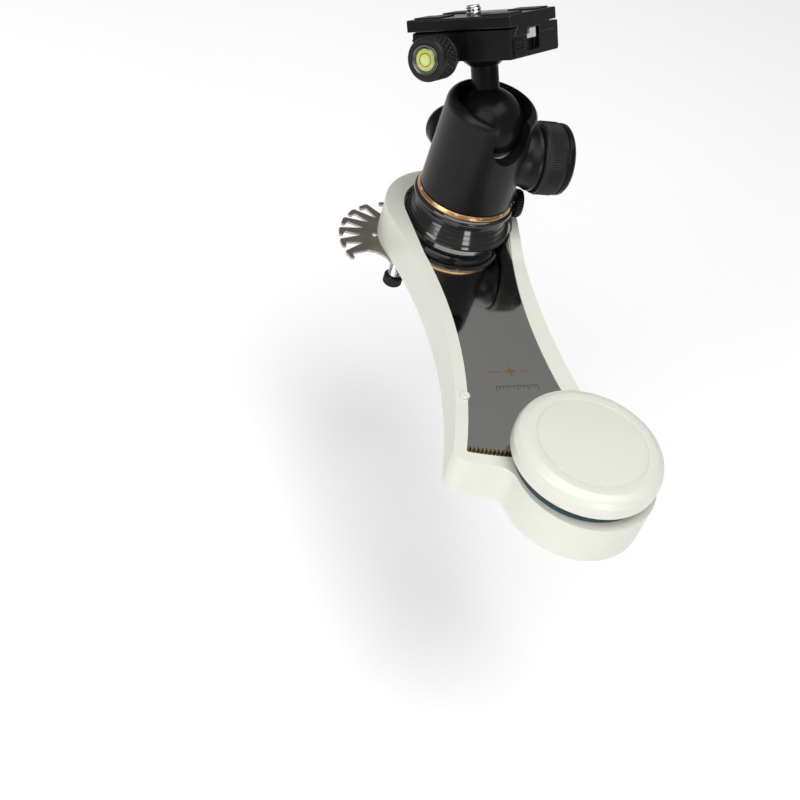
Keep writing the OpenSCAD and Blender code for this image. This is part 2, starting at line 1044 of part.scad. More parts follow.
module camera_screw() {
    color(steel)
        at_clamp()
            translate([-3.5, 0, 0])
                difference() {
                    union() {
                        translate([0, 0, 36.2])
                            cylinder(r = 8, h = 3.4);
                        translate([0, 0, 39])
                            cylinder(r = neck_r, h = plate_top - 38.8);
                        translate([0, 0, plate_top + 0.15])
                            cylinder(r = stud_r, h = stud_l);
                    }
                    translate([-10, -0.8, 35])
                        cube([20, 1.6, 2.4]);
                }
}

// ---- spring comb ----

module comb() {
    color([0.42, 0.39, 0.35])
        at_polar()
            translate([0, 0, -deck_z - run])
                difference() {
                    slab(-comb_t, 0)
                        union() {
                            translate(comb_c)
                                intersection() {
                                    circle(r = comb_root_r);
                                    polygon([[0, 0], [-60, 20], [-60, -60], [18, -60]]);
                                }
                            translate(comb_c)
                                circle(r = 9);
                            polygon([comb_c, [5.4, -41], [6.6, -37.2], [8.4, -34.6], [11.2, -32.4],
                                     thumb_c + [3, -4.2], thumb_c + [0, 5.2], comb_c + [0, 9]]);
                            translate(thumb_c)
                                circle(r = 5.2);
                            for (i = [0 : 7])
                                translate(comb_c)
                                    rotate([0, 0, comb_first - comb_pitch * i - (i > 5 ? comb_gap : 0)])
                                        polygon([[comb_root_r - 1.6, -4.5], [comb_r - 0.2, -1],
                                                 [comb_r + 0.1, 0.5], [comb_r - 0.4, 4.1],
                                                 [comb_r - 2.1, 4.4], [comb_r - 2.5, 1.3],
                                                 [comb_root_r - 0.3, 1], [comb_root_r - 1.6, 1]]);
                        }
                    translate([thumb_c[0], thumb_c[1], -5])
                        cylinder(r = 2.55, h = 10);
                    translate([comb_eye[0], comb_eye[1], -5])
                        rotate([0, 0, 30])
                            cube([2.1, 2.1, 20], center = true);
                }
}

module thumb_stud() {
    color(zinc)
        at_polar()
            translate([thumb_c[0], thumb_c[1], -deck_z - comb_t - 0.1]) {
                rotate([180, 0, 0])
                    cylinder(r = 2.95, h = 8.3);
                cylinder(r = 2.5, h = 8);
            }
}

module thumb_cap() {
    color(black)
        at_polar()
            translate([thumb_c[0], thumb_c[1], -deck_z - comb_t - 0.1])
                rotate([180, 0, 0])
                    rotate_extrude()
                        polygon([[0, 8.32], [3.9, 8.32], [4.3, 8.8], [4.3, 12.6], [3.7, 13.2], [0, 13.2]]);
}

// ---- draw ----

housing();
base_cover();
case_screws();
bed_plate();
polar_bearing();
tripod_socket();
accessory_socket();
thumb_insert();
stop_peg();
dial_ring();
timer_case();
timer_plate();
winding_cap();
winder_shaft();
drive_pinion();
mainspring_barrel();
mainspring();
third_wheel();
escape_wheel();
sector_deck();
polar_shaft();
shaft_screws();
thrust_washer();
retaining_nut();
head_base();
pan_scale();
pan_ring();
pan_knob();
pan_screw();
head_housing();
ball_cup();
cup_spring();
lock_pusher();
lock_grip();
lock_cap();
lock_screw();
friction_grip();
friction_screw();
ball();
stem();
stem_screw();
clamp_base();
jaw_guides();
clamp_jaw();
clamp_grip();
clamp_screw();
level_bezel();
level_vial();
level_mark();
safety_pin();
qr_plate();
qr_pads();
camera_screw();
comb();
thumb_stud();
thumb_cap();
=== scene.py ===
"""Looks of the star tracker mount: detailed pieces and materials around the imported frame."""
import bpy
import bmesh
import json
import math
from mathutils import Matrix, Vector


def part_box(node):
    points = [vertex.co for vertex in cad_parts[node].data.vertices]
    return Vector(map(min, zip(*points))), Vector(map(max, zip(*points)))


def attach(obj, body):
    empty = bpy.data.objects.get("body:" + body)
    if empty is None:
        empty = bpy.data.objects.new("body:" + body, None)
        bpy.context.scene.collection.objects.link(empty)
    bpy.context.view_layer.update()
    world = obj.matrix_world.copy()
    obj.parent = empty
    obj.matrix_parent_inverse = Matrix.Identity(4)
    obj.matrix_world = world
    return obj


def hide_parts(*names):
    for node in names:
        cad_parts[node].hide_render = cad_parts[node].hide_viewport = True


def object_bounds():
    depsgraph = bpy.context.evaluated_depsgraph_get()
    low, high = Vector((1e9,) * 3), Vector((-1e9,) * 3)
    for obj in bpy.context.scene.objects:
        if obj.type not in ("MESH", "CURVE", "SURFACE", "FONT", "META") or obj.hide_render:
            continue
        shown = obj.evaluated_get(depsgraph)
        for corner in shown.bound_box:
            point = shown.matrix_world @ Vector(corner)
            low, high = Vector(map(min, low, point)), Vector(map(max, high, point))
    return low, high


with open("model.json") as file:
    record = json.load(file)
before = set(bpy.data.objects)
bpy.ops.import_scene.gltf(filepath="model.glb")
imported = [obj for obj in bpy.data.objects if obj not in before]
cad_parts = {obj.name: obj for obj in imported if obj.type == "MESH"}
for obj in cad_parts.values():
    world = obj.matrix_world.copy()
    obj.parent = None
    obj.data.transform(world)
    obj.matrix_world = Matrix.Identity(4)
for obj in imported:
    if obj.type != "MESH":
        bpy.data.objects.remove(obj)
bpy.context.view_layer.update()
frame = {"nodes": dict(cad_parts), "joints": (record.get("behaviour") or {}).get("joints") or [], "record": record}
MM = 0.001
JOINTS = {j["name"]: j for j in frame["joints"]}


# ---------------------------------------------------------------- places

def joint_spot(name):
    return Vector(JOINTS[name]["pos_m"])


def joint_axis(name):
    return Vector(JOINTS[name]["axis"]).normalized()


def place_at(origin, z_axis, x_axis):
    """Matrix of a frame in metres with millimetre units inside: its local Z and X as given."""
    z = Vector(z_axis).normalized()
    y = z.cross(Vector(x_axis)).normalized()
    x = y.cross(z)
    turn = Matrix((x, y, z)).transposed().to_4x4()
    return Matrix.Translation(origin) @ turn @ Matrix.Scale(MM, 4)


def shifted(place, x=0, y=0, z=0):
    return place @ Matrix.Translation((x, y, z))


POLAR = place_at(joint_spot("polar_turn"), (0, 0, 1), (1, 0, 0))
KNOB = place_at(joint_spot("winder_turn"), (0, 0, 1), (1, 0, 0))
BALL = place_at(joint_spot("ball_sway"), (0, 0, 1), (1, 0, 0))
ALONG = -joint_axis("plate_slide")
CLAMP = place_at(joint_spot("ball_sway"), joint_axis("clamp_turn"), ALONG)
GRIP_SPOT = CLAMP.inverted() @ joint_spot("clamp_knob_turn")
GRIP = shifted(CLAMP, GRIP_SPOT.x, 0, GRIP_SPOT.z) @ Matrix.Rotation(math.radians(90), 4, "X")


def foot_of(node):
    """Upright frame at the middle of a node's foot, with the node's height and radius in millimetres."""
    low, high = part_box(node)
    spot = Vector(((low.x + high.x) / 2, (low.y + high.y) / 2, low.z))
    return place_at(spot, (0, 0, 1), (1, 0, 0)), (high.z - low.z) / MM, (high.x - low.x) / MM / 2


def side_place(joint):
    """Frame of a radial knob on the ball head: Z outward from the polar axis at the knob's height."""
    centre = joint_spot("polar_turn")
    centre.z = joint_spot(joint).z
    return place_at(centre, joint_axis(joint), (0, 0, -1))


LOCK = side_place("ball_lock_turn")
FRICTION = side_place("friction_turn")
PAN = side_place("pan_lock_turn")


# ---------------------------------------------------------------- mesh helpers

def new_object(name, mesh, place=None):
    obj = bpy.data.objects.new(name, mesh)
    bpy.context.scene.collection.objects.link(obj)
    if place is not None:
        mesh.transform(place)
        if place.determinant() < 0:
            mesh.flip_normals()
    return obj


def finish_mesh(bm, name, place, smooth_angle=35):
    bmesh.ops.remove_doubles(bm, verts=bm.verts, dist=1e-5)
    bmesh.ops.recalc_face_normals(bm, faces=bm.faces)
    mesh = bpy.data.meshes.new(name)
    bm.to_mesh(mesh)
    bm.free()
    obj = new_object(name, mesh, place)
    shade(obj, smooth_angle)
    return obj


def shade(obj, angle=35):
    """Smooth shading, with edges sharper than angle kept crisp."""
    mesh = obj.data
    mesh.polygons.foreach_set("use_smooth", [True] * len(mesh.polygons))
    mesh.set_sharp_from_angle(angle=math.radians(angle))
    mesh.update()


def apply_modifiers(obj):
    """Bakes the object's modifiers into its mesh."""
    graph = bpy.context.evaluated_depsgraph_get()
    graph.update()
    baked = bpy.data.meshes.new_from_object(obj.evaluated_get(graph))
    obj.modifiers.clear()
    obj.data = baked
    return obj


def bevel(obj, width, segments=3, angle=35, edge_slot=-1):
    """Rounded edges, with normals weighted by face area so that the flat faces stay flat."""
    modifier = obj.modifiers.new("soft_edges", "BEVEL")
    modifier.width = width * MM
    modifier.segments = segments
    modifier.limit_method = "ANGLE"
    modifier.angle_limit = math.radians(angle)
    modifier.harden_normals = False
    modifier.material = edge_slot
    apply_modifiers(obj)
    shade(obj, 40)
    weighting = obj.modifiers.new("flat_faces", "WEIGHTED_NORMAL")
    weighting.mode = "FACE_AREA"
    weighting.weight = 100
    weighting.keep_sharp = True
    return apply_modifiers(obj)


def carve(obj, *cutters):
    """Takes each cutter out of obj; the cutters are used up."""
    for cutter in cutters:
        modifier = obj.modifiers.new("carve", "BOOLEAN")
        modifier.operation = "DIFFERENCE"
        modifier.solver = "EXACT"
        modifier.object = cutter
        apply_modifiers(obj)
        bpy.data.objects.remove(cutter)
    return obj


def rounded(points, closed=False, steps=4):
    """Outline with its corners rounded: each point is (a, b) or (a, b, radius)."""
    out = []
    count = len(points)
    for i, point in enumerate(points):
        here = Vector(point[:2])
        radius = point[2] if len(point) > 2 else 0
        if radius == 0 or (not closed and i in (0, count - 1)):
            out.append(here)
            continue
        before = Vector(points[i - 1][:2]) - here
        after = Vector(points[(i + 1) % count][:2]) - here
        turn = math.pi - before.angle(after)
        reach = min(radius * math.tan(turn / 2), 0.49 * before.length, 0.49 * after.length)
        start = here + before.normalized() * reach
        end = here + after.normalized() * reach
        for k in range(steps + 1):
            t = k / steps
            out.append(start * (1 - t) ** 2 + here * 2 * t * (1 - t) + end * t ** 2)
    return out


def lathe(name, profile, place, steps=96, shape=None, closed=False, smooth_angle=35):
    """Turned piece from (radius, height) points; shape(angle, radius, height) may change the radius."""
    bm = bmesh.new()
    rings = []
    for point in profile:
        ring = []
        for i in range(steps):
            a = 2 * math.pi * i / steps
            r = shape(a, point[0], point[1]) if shape else point[0]
            ring.append(bm.verts.new((r * math.cos(a), r * math.sin(a), point[1])))
        rings.append(ring)
    pairs = list(zip(rings, rings[1:]))
    if closed:
        pairs.append((rings[-1], rings[0]))
    for low, high in pairs:
        for i in range(steps):
            j = (i + 1) % steps
            bm.faces.new((low[i], low[j], high[j], high[i]))
    return finish_mesh(bm, name, place, smooth_angle)


def prism(name, outline, z0, z1, place, edge=0):
    """Extruded closed outline from z0 to z1, with its edges rounded by edge."""
    bm = bmesh.new()
    floor = [bm.verts.new((p[0], p[1], z0)) for p in outline]
    roof = [bm.verts.new((p[0], p[1], z1)) for p in outline]
    bm.faces.new(floor)
    bm.faces.new(roof)
    for i in range(len(outline)):
        j = (i + 1) % len(outline)
        bm.faces.new((floor[i], floor[j], roof[j], roof[i]))
    obj = finish_mesh(bm, name, place)
    return bevel(obj, edge, 2) if edge else obj


def block(name, low, high, place, edge=0):
    """Box between two corners, with rounded edges."""
    outline = [(low[0], low[1]), (high[0], low[1]), (high[0], high[1]), (low[0], high[1])]
    return prism(name, outline, low[2], high[2], place, edge)


def joined(name, objs):
    """One object from several."""
    bm = bmesh.new()
    for obj in objs:
        bm.from_mesh(obj.data)
        bpy.data.objects.remove(obj)
    mesh = bpy.data.meshes.new(name)
    bm.to_mesh(mesh)
    bm.free()
    return new_object(name, mesh)


def cad_copy(name, node):
    """Clean copy of a CAD node's mesh, welded and with its flat faces merged."""
    bm = bmesh.new()
    bm.from_mesh(frame["nodes"][node].data)
    bmesh.ops.remove_doubles(bm, verts=bm.verts, dist=2e-6)
    bmesh.ops.dissolve_limit(bm, angle_limit=math.radians(0.6), verts=bm.verts, edges=bm.edges)
    mesh = bpy.data.meshes.new(name)
    bm.to_mesh(mesh)
    bm.free()
    return new_object(name, mesh)


def arc_points(centre, radius, a0, a1, count):
    """Points of an arc in degrees, both ends included."""
    return [
        (centre[0] + radius * math.cos(math.radians(a0 + (a1 - a0) * i / (count - 1))),
         centre[1] + radius * math.sin(math.radians(a0 + (a1 - a0) * i / (count - 1))))
        for i in range(count)
    ]


# ---------------------------------------------------------------- materials

def nodes_of(name):
    material = bpy.data.materials.new(name)
    material.use_nodes = True
    tree = material.node_tree
    shader = tree.nodes["Principled BSDF"]
    spot = tree.nodes.new("ShaderNodeTexCoord")
    return material, tree, shader, spot.outputs["Object"]


def noise(tree, spot, scale, detail=4, stretch=None):
    """Noise texture in object space; scale is features per metre, stretch squeezes the axes."""
    texture = tree.nodes.new("ShaderNodeTexNoise")
    texture.inputs["Scale"].default_value = scale
    texture.inputs["Detail"].default_value = detail
    source = spot
    if stretch:
        mapping = tree.nodes.new("ShaderNodeMapping")
        mapping.inputs["Scale"].default_value = stretch
        tree.links.new(spot, mapping.inputs["Vector"])
        source = mapping.outputs["Vector"]
    tree.links.new(source, texture.inputs["Vector"])
    return texture.outputs["Fac"]


def ramp(tree, value, stops):
    """Colour ramp of (position, colour) stops."""
    node = tree.nodes.new("ShaderNodeValToRGB")
    elements = node.color_ramp.elements
    while len(elements) < len(stops):
        elements.new(0.5)
    for element, (position, colour) in zip(elements, stops):
        element.position = position
        element.color = (*colour, 1)
    tree.links.new(value, node.inputs["Fac"])
    return node.outputs["Color"]


def spread(tree, value, low, high):
    """Maps a 0.3 to 0.7 noise onto low to high."""
    node = tree.nodes.new("ShaderNodeMapRange")
    node.inputs["From Min"].default_value = 0.3
    node.inputs["From Max"].default_value = 0.7
    node.inputs["To Min"].default_value = low
    node.inputs["To Max"].default_value = high
    tree.links.new(value, node.inputs["Value"])
    return node.outputs["Result"]


def bump(tree, shader, height, strength, distance):
    node = tree.nodes.new("ShaderNodeBump")
    node.inputs["Strength"].default_value = strength
    node.inputs["Distance"].default_value = distance * MM
    tree.links.new(height, node.inputs["Height"])
    tree.links.new(node.outputs["Normal"], shader.inputs["Normal"])


def finish(name, dark, light, rough, metal, grain=900, depth=0.01, strength=0.3, blotch=60,
           stretch=None, coat=0, coat_rough=0.1, specular=0.5):
    """General finish: blotchy colour between dark and light, uneven roughness, fine grain in the bump."""
    material, tree, shader, spot = nodes_of(name)
    patches = noise(tree, spot, blotch, 3)
    grains = noise(tree, spot, grain, 6, stretch)
    tree.links.new(ramp(tree, patches, [(0.3, dark), (0.7, light)]), shader.inputs["Base Color"])
    tree.links.new(spread(tree, grains, rough[0], rough[1]), shader.inputs["Roughness"])
    bump(tree, shader, grains, strength, depth)
    shader.inputs["Metallic"].default_value = metal
    shader.inputs["Coat Weight"].default_value = coat
    shader.inputs["Coat Roughness"].default_value = coat_rough
    shader.inputs["Specular IOR Level"].default_value = specular
    return material


def turned(name, dark, light, rough, metal, place, pitch, depth=0.004, coat=0, specular=0.5):
    """Turned metal: fine rings about the place's Z axis, over a blotchy colour."""
    material, tree, shader, spot = nodes_of(name)
    mapping = tree.nodes.new("ShaderNodeMapping")
    mapping.vector_type = "TEXTURE"
    mapping.inputs["Location"].default_value = place.translation
    mapping.inputs["Rotation"].default_value = place.to_euler()
    tree.links.new(spot, mapping.inputs["Vector"])
    rings = noise(tree, mapping.outputs["Vector"], 1 / (pitch * MM), 2, (0.02, 0.02, 1))
    patches = noise(tree, spot, 80, 3)
    tree.links.new(ramp(tree, patches, [(0.3, dark), (0.7, light)]), shader.inputs["Base Color"])
    tree.links.new(spread(tree, rings, rough[0], rough[1]), shader.inputs["Roughness"])
    bump(tree, shader, rings, 0.4, depth)
    shader.inputs["Metallic"].default_value = metal
    shader.inputs["Coat Weight"].default_value = coat
    shader.inputs["Specular IOR Level"].default_value = specular
    return material


IVORY = finish("ivory_powder_coat", (0.635, 0.64, 0.575), (0.665, 0.665, 0.60), (0.34, 0.46), 0,
               grain=1500, depth=0.03, strength=0.35, blotch=35, coat=0.15, coat_rough=0.25)
IVORY_KNOB = finish("ivory_gloss_coat", (0.635, 0.64, 0.575), (0.665, 0.665, 0.60), (0.26, 0.36), 0,
                    grain=1300, depth=0.02, strength=0.3, blotch=35, coat=0.25, coat_rough=0.2)
# Lighter copy of the ivory coat, a painted highlight: it gives the body's bevelled edges a bright edge line and the
# ledge under the deck's teeth painted light in the gaps.
IVORY_PAINTED_HIGHLIGHT = finish("ivory_painted_highlight", (0.80, 0.80, 0.73), (0.84, 0.84, 0.77), (0.22, 0.32), 0,
                    grain=1500, depth=0.01, blotch=35, coat=0.3, coat_rough=0.15)
BLACK = finish("black_anodised", (0.004, 0.004, 0.004), (0.006, 0.006, 0.006), (0.22, 0.32), 0,
               grain=4200, depth=0.004, strength=0.25, blotch=70, specular=0.12)
BLACK_HEAD = turned("black_anodised_head", (0.004, 0.004, 0.004), (0.007, 0.007, 0.007), (0.28, 0.38), 0, POLAR,
                    0.14, depth=0.012, specular=0.2)
GLOSS = finish("black_polished", (0.006, 0.006, 0.006), (0.010, 0.010, 0.010), (0.12, 0.18), 0,
               grain=4000, depth=0.0004, strength=0.1, blotch=50, coat=0.8, coat_rough=0.06, specular=0.35)
RUBBER = finish("black_rubber", (0.006, 0.006, 0.006), (0.010, 0.010, 0.009), (0.36, 0.50), 0,
                grain=2600, depth=0.015, strength=0.4, blotch=90, specular=0.25)
MIRROR = finish("mirror_deck", (0.54, 0.535, 0.515), (0.60, 0.595, 0.575), (0.04, 0.075), 1,
                grain=2500, depth=0.0001, strength=0.02, blotch=18, stretch=(0.02, 1, 1))
STEEL = finish("machined_steel", (0.42, 0.42, 0.42), (0.55, 0.55, 0.55), (0.24, 0.40), 1,
               grain=1800, depth=0.006, stretch=(0.1, 1, 1))
ZINC = finish("bright_zinc", (0.55, 0.57, 0.60), (0.70, 0.72, 0.75), (0.16, 0.30), 1,
              grain=1500, depth=0.006)
CHROME = finish("bright_chrome", (0.62, 0.63, 0.64), (0.72, 0.73, 0.74), (0.08, 0.16), 1,
                grain=1200, depth=0.002)
SPRING = finish("rolled_spring_steel", (0.27, 0.245, 0.215), (0.36, 0.33, 0.295), (0.26, 0.40), 1,
                grain=900, depth=0.006, blotch=90, stretch=(1, 0.12, 1))
RAW_EDGE = finish("raw_sheared_edge", (0.34, 0.32, 0.28), (0.50, 0.48, 0.44), (0.25, 0.4), 1, blotch=400)
DULL_ZINC = finish("dull_zinc", (0.09, 0.095, 0.10), (0.14, 0.145, 0.15), (0.20, 0.30), 1,
                   grain=1500, depth=0.003)
NICKEL = finish("bright_nickel", (0.74, 0.71, 0.66), (0.86, 0.83, 0.78), (0.25, 0.35), 0.5,
                grain=1500, depth=0.003)
WORN_EDGE = finish("polished_black_edge", (0.05, 0.05, 0.05), (0.09, 0.09, 0.088), (0.22, 0.34), 1,
                   grain=2500, depth=0.003, blotch=200)
BRASS = finish("machined_brass", (0.55, 0.38, 0.17), (0.68, 0.49, 0.24), (0.22, 0.38), 1,
               grain=1600, depth=0.006)
GOLD = turned("copper_gold", (0.56, 0.31, 0.125), (0.61, 0.35, 0.15), (0.24, 0.30), 1, POLAR, 0.12, depth=0.0003)
NYLON = finish("natural_nylon", (0.66, 0.66, 0.60), (0.74, 0.74, 0.68), (0.42, 0.55), 0)
TEAL = finish("dark_teal_plastic", (0.016, 0.045, 0.052), (0.026, 0.066, 0.076), (0.20, 0.32), 0,
              grain=900, depth=0.01)
WHITE_INK = finish("pale_ink", (0.66, 0.65, 0.60), (0.78, 0.77, 0.72), (0.45, 0.6), 0)
DARK_INK = finish("dark_ink", (0.02, 0.015, 0.01), (0.05, 0.035, 0.02), (0.4, 0.6), 0)
GOLD_ETCH = finish("gold_etch", (0.42, 0.25, 0.08), (0.52, 0.33, 0.12), (0.3, 0.45), 1)
GREY_ETCH = finish("grey_etch", (0.03, 0.03, 0.028), (0.06, 0.06, 0.055), (0.4, 0.6), 0)
CUT_EDGE = finish("browned_cut_edge", (0.36, 0.26, 0.12), (0.58, 0.46, 0.27), (0.25, 0.4), 1, blotch=500)
BUBBLE = finish("bubble", (0.42, 0.52, 0.14), (0.50, 0.60, 0.22), (0.05, 0.1), 0, coat=1)
RED = finish("red_ring", (0.30, 0.03, 0.01), (0.40, 0.05, 0.015), (0.25, 0.35), 0)


def vial_material():
    """Level liquid behind a clear cap: bright yellow green, a little deeper towards one side."""
    material, tree, shader, spot = nodes_of("green_vial")
    depth = noise(tree, spot, 140, 2)
    colour = ramp(tree, depth, [(0.3, (0.34, 0.45, 0.07)), (0.7, (0.44, 0.55, 0.14))])
    tree.links.new(colour, shader.inputs["Base Color"])
    tree.links.new(spread(tree, depth, 0.08, 0.16), shader.inputs["Roughness"])
    shader.inputs["Coat Weight"].default_value = 0.8
    shader.inputs["Subsurface Weight"].default_value = 0.15
    shader.inputs["Subsurface Radius"].default_value = (0.001, 0.001, 0.0004)
    return material


VIAL = vial_material()


def paint(obj, *materials):
    """Replaces an object's materials."""
    obj.data.materials.clear()
    for material in materials:
        obj.data.materials.append(material)
    return obj


def paint_sides(obj, material):
    """Second material on the faces that stand upright."""
    obj.data.materials.append(material)
    for face in obj.data.polygons:
        if abs(face.normal.z) < 0.4:
            face.material_index = 1


def piece(obj, body, material, slot, *nodes):
    """Paints a piece unless it is painted, rides it on its body and stands it in for CAD nodes."""
    if material:
        paint(obj, material)
    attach(obj, body)
    if nodes:
        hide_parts(*nodes)
    return obj


def dress_cad(material, *names):
    """Gives CAD nodes that stay in view their material."""
    for name in names:
        obj = frame["nodes"][name]
        paint(obj, material)
        shade(obj, 30)


# ---------------------------------------------------------------- body

DECK_T = 3
RIM_CENTRE, RIM_R = Vector((95, 365.26)), 350
WINDOW_CENTRE, WINDOW_R = Vector((92, 258.9)), 250
WINDOW_INSET_MIN = 4.8
RIM_TOP = 3.1
SLOPE_FROM, SLOPE_LONG, SLOPE_STEPS = 17, 123, 52


def window_inset(x):
    """Width of the right rim at x, from the body's outer arc to the window's arc."""
    edge = Vector((x, WINDOW_CENTRE.y - math.sqrt(WINDOW_R ** 2 - (x - WINDOW_CENTRE.x) ** 2)))
    return max(WINDOW_INSET_MIN, (edge - RIM_CENTRE).length - RIM_R)


def along_right_rim(name, section_at):
    """Solid swept along the body's right rim: section_at(x) gives (inset from the outer edge, z) points."""
    centre, outer = RIM_CENTRE, RIM_R
    bm = bmesh.new()
    sections = []
    for i in range(SLOPE_STEPS + 1):
        x = SLOPE_FROM + SLOPE_LONG * i / SLOPE_STEPS
        angle = math.atan2(-math.sqrt(outer ** 2 - (x - centre.x) ** 2), x - centre.x)
        sections.append([bm.verts.new((centre.x + (outer + inset) * math.cos(angle),
                                       centre.y + (outer + inset) * math.sin(angle), z))
                         for inset, z in section_at(x)])
    for near, far in zip(sections, sections[1:]):
        for k in range(4):
            bm.faces.new((near[k], near[(k + 1) % 4], far[(k + 1) % 4], far[k]))
    bm.faces.new(sections[0])
    bm.faces.new(sections[-1])
    return finish_mesh(bm, name, POLAR)


def above_slope(x):
    """What is taken off the rim above its slope at x."""
    inner_drop, outer_drop, run_in = 2.9, 1.3, 14
    outer_ends, outer_fades = 118, 70
    share = min(1, (x - SLOPE_FROM) / run_in)
    low_in = RIM_TOP - inner_drop * share
    low_out = RIM_TOP - outer_drop * share * max(0, min(1, (outer_ends - x) / outer_fades))
    wide = window_inset(x) + 0.4
    return [(wide, low_in), (wide, 5), (-1, 5), (-1, low_out)]


def lip_section(x):
    """Thin raised lip along the window's right edge at x, clear of the marks on the moving deck."""
    near, far = window_inset(x) - 0.05, window_inset(x) - 0.9
    return [(near, 0.12), (near, 0.36), (far, 0.5), (far, 0.12)]


def make_body():
    """Cast body, its rim sloping down to the deck along the right side."""
    shell = cad_copy("body_shell", "housing")
    carve(shell, along_right_rim("slope", above_slope))
    # The bevel faces take the lighter ivory in slot 1, a painted highlight line along the rim's edges.
    paint(shell, IVORY, IVORY_PAINTED_HIGHLIGHT)
    bevel(shell, 0.6, 3, 34, edge_slot=1)
    piece(shell, "tracker_body", None, "white_coat", "housing")
    piece(along_right_rim("rim_lip", lip_section), "tracker_body", IVORY, "white_coat")
    low, high = -DECK_T - 1.0, -DECK_T - 0.3
    inner_r, outer_r, left, right = 138.6, 143.4, -17.3, 4
    arcs = arc_points((0, 0), inner_r, left, right, 24) + arc_points((0, 0), outer_r, right, left, 24)
    # The ledge sits in shade under the deck and is painted in the lighter ivory, so the gaps between the teeth show
    # painted light.
    piece(prism("teeth_ledge", arcs, low, high, POLAR), "tracker_body", IVORY_PAINTED_HIGHLIGHT, "white_coat")


def make_winding_knob():
    """Turned knob with a soft top edge, an engraved ring and a small relief under its skirt."""
    low, top, radius = 7.9, 16.9, 28.5
    ring_in, ring_out, ring_deep = 20.7, 21.2, 0.28
    engraved = rounded([(0, top), (ring_in, top, 0.15), (ring_in, top - ring_deep, 0.1),
                        (ring_out, top - ring_deep, 0.1), (ring_out, top, 0.15), (22.4, top)])
    crown = rounded([(22.4, top), (24.6, top - 0.15, 2.5), (27.4, top - 1.35, 2.2), (radius, top - 4.2, 3),
                     (radius, low + 1)], steps=10)
    skirt = rounded([crown[-1], (radius, low, 0.7), (radius - 2.5, low, 0.4), (radius - 2.5, low + 2.6, 0.4),
                     (radius - 5, low + 5.6), (8, low + 5.6), (8, low + 4), (3.1, low + 4), (3.1, top - 1.6),
                     (0, top - 1.6)])
    knob = lathe("winding_knob", engraved + crown[1:] + skirt[1:], KNOB, 160)
    piece(knob, "winder", IVORY_KNOB, "white_coat", "winding_cap")


def make_deck():
    """Polished toothed plate with browned cut edges, and a generic gold and grey mark etched on it."""
    deck = cad_copy("toothed_deck", "sector_deck")
    # The visible tooth row is set in from the CAD's and finer, so only the CAD gears mesh.
    tip, root, step = 140.9, 139.5, 0.64
    first, last = -33, 14
    gaps = []
    for k in range(first, last):
        for share, r in ((0, root), (0.32, root), (0.5, tip), (0.82, tip)):
            a = math.radians((k + share) * step)
            gaps.append((r * math.cos(a), r * math.sin(a)))
    gaps += arc_points((0, 0), 152, last * step, first * step, 40)
    carve(deck, prism("teeth", gaps, -6, 1, POLAR))
    piece(deck, "polar_drive", MIRROR, "mirror_deck", "sector_deck")
    for face in deck.data.polygons:
        face.use_smooth = False
    paint_sides(deck, CUT_EDGE)
    star_x, star_y, star_long, star_short = 97, -8.5, 3.2, 0.9
    outline = []
    for k in range(8):
        r = star_long if k % 2 == 0 else star_short
        outline.append((star_x + r * math.cos(math.radians(45 * k)), star_y + r * math.sin(math.radians(45 * k))))
    low, high, half = 0.02, 0.07, 0.12
    star = prism("etched_star", outline, low, high, POLAR)
    lines = [block("line", (star_x - 0.18, star_y + side * 4.2, low), (star_x + 0.18, star_y + side * 9.5, high), POLAR)
             for side in (-1, 1)]
    gold_mark = joined("etched_gold_mark", [star] + lines)
    piece(gold_mark, "polar_drive", GOLD_ETCH, "gold_scale")
    ticks = []
    for i in range(13):
        y = star_y - 9 + 1.5 * i
        length = 2.4 if i % 3 == 0 else 1.3
        ticks.append(block("tick", (105, y - half, low), (105 + length, y + half, high), POLAR))
    ticks.append(block("tick", (104.8, star_y - 9.1, low), (105, star_y + 9.1, high), POLAR))
    scale = joined("etched_scale", ticks)
    piece(scale, "polar_drive", GREY_ETCH, "mirror_deck")


def make_pod_trim():
    """Teal ring in the gap under the winding knob, and the white peg by the rim."""
    wide, groove = 25.7, 25.4
    ring = rounded([(15, 2.92), (wide, 2.92, 0.1), (wide, 4.2, 0.15), (groove, 4.35, 0.1), (groove, 4.65, 0.1),
                    (wide, 4.8, 0.15), (wide, 6.1, 0.4), (23.4, 7.1, 0.3), (15, 7.1)], closed=True)
    ring = lathe("gap_ring", ring, KNOB, 128, closed=True)
    piece(ring, "tracker_body", TEAL, "dark_plastic", "dial_ring")
    place, tall, wide = foot_of("stop_peg")
    peg = lathe("rim_peg", rounded([(0, 0), (wide, 0), (wide, tall, 0.7), (0.9, tall, 0.1), (0.8, tall - 0.15, 0.05),
                                    (0, tall - 0.15)]), place, 48)
    piece(peg, "tracker_body", IVORY_KNOB, "white_coat", "stop_peg")


# ---------------------------------------------------------------- underside

def thread(name, radius, depth, pitch, z0, z1, place, tip=0.6, inside=False, outer=0, steps=48):
    """Screw thread as a helical ridge on a shank, or inside a bush of radius outer."""
    rows = int((z1 - z0) / pitch * 8)

    def ridge(a, r, z):
        if r < radius * 0.8 or (inside and r > radius * 1.01):
            return r
        phase = (z / pitch - a / (2 * math.pi)) % 1
        height = abs(2 * phase - 1)
        fade = 1 if inside else min(1, max(0, (z1 - z) / tip), max(0, (z - z0) / 0.3))
        return r - depth * (height if inside else 1 - height * fade)

    heights = [z0 + (z1 - z0) * i / rows for i in range(rows + 1)]
    if inside:
        profile = [(outer, z0), (outer, z1)] + [(radius, z) for z in reversed(heights)]
        return lathe(name, profile, place, steps, ridge, closed=True, smooth_angle=60)
    profile = [(0, z0)] + [(radius, z) for z in heights] + [(radius - depth - 0.3, z1 + 0.25), (0, z1 + 0.25)]
    return lathe(name, profile, place, steps, ridge, smooth_angle=60)


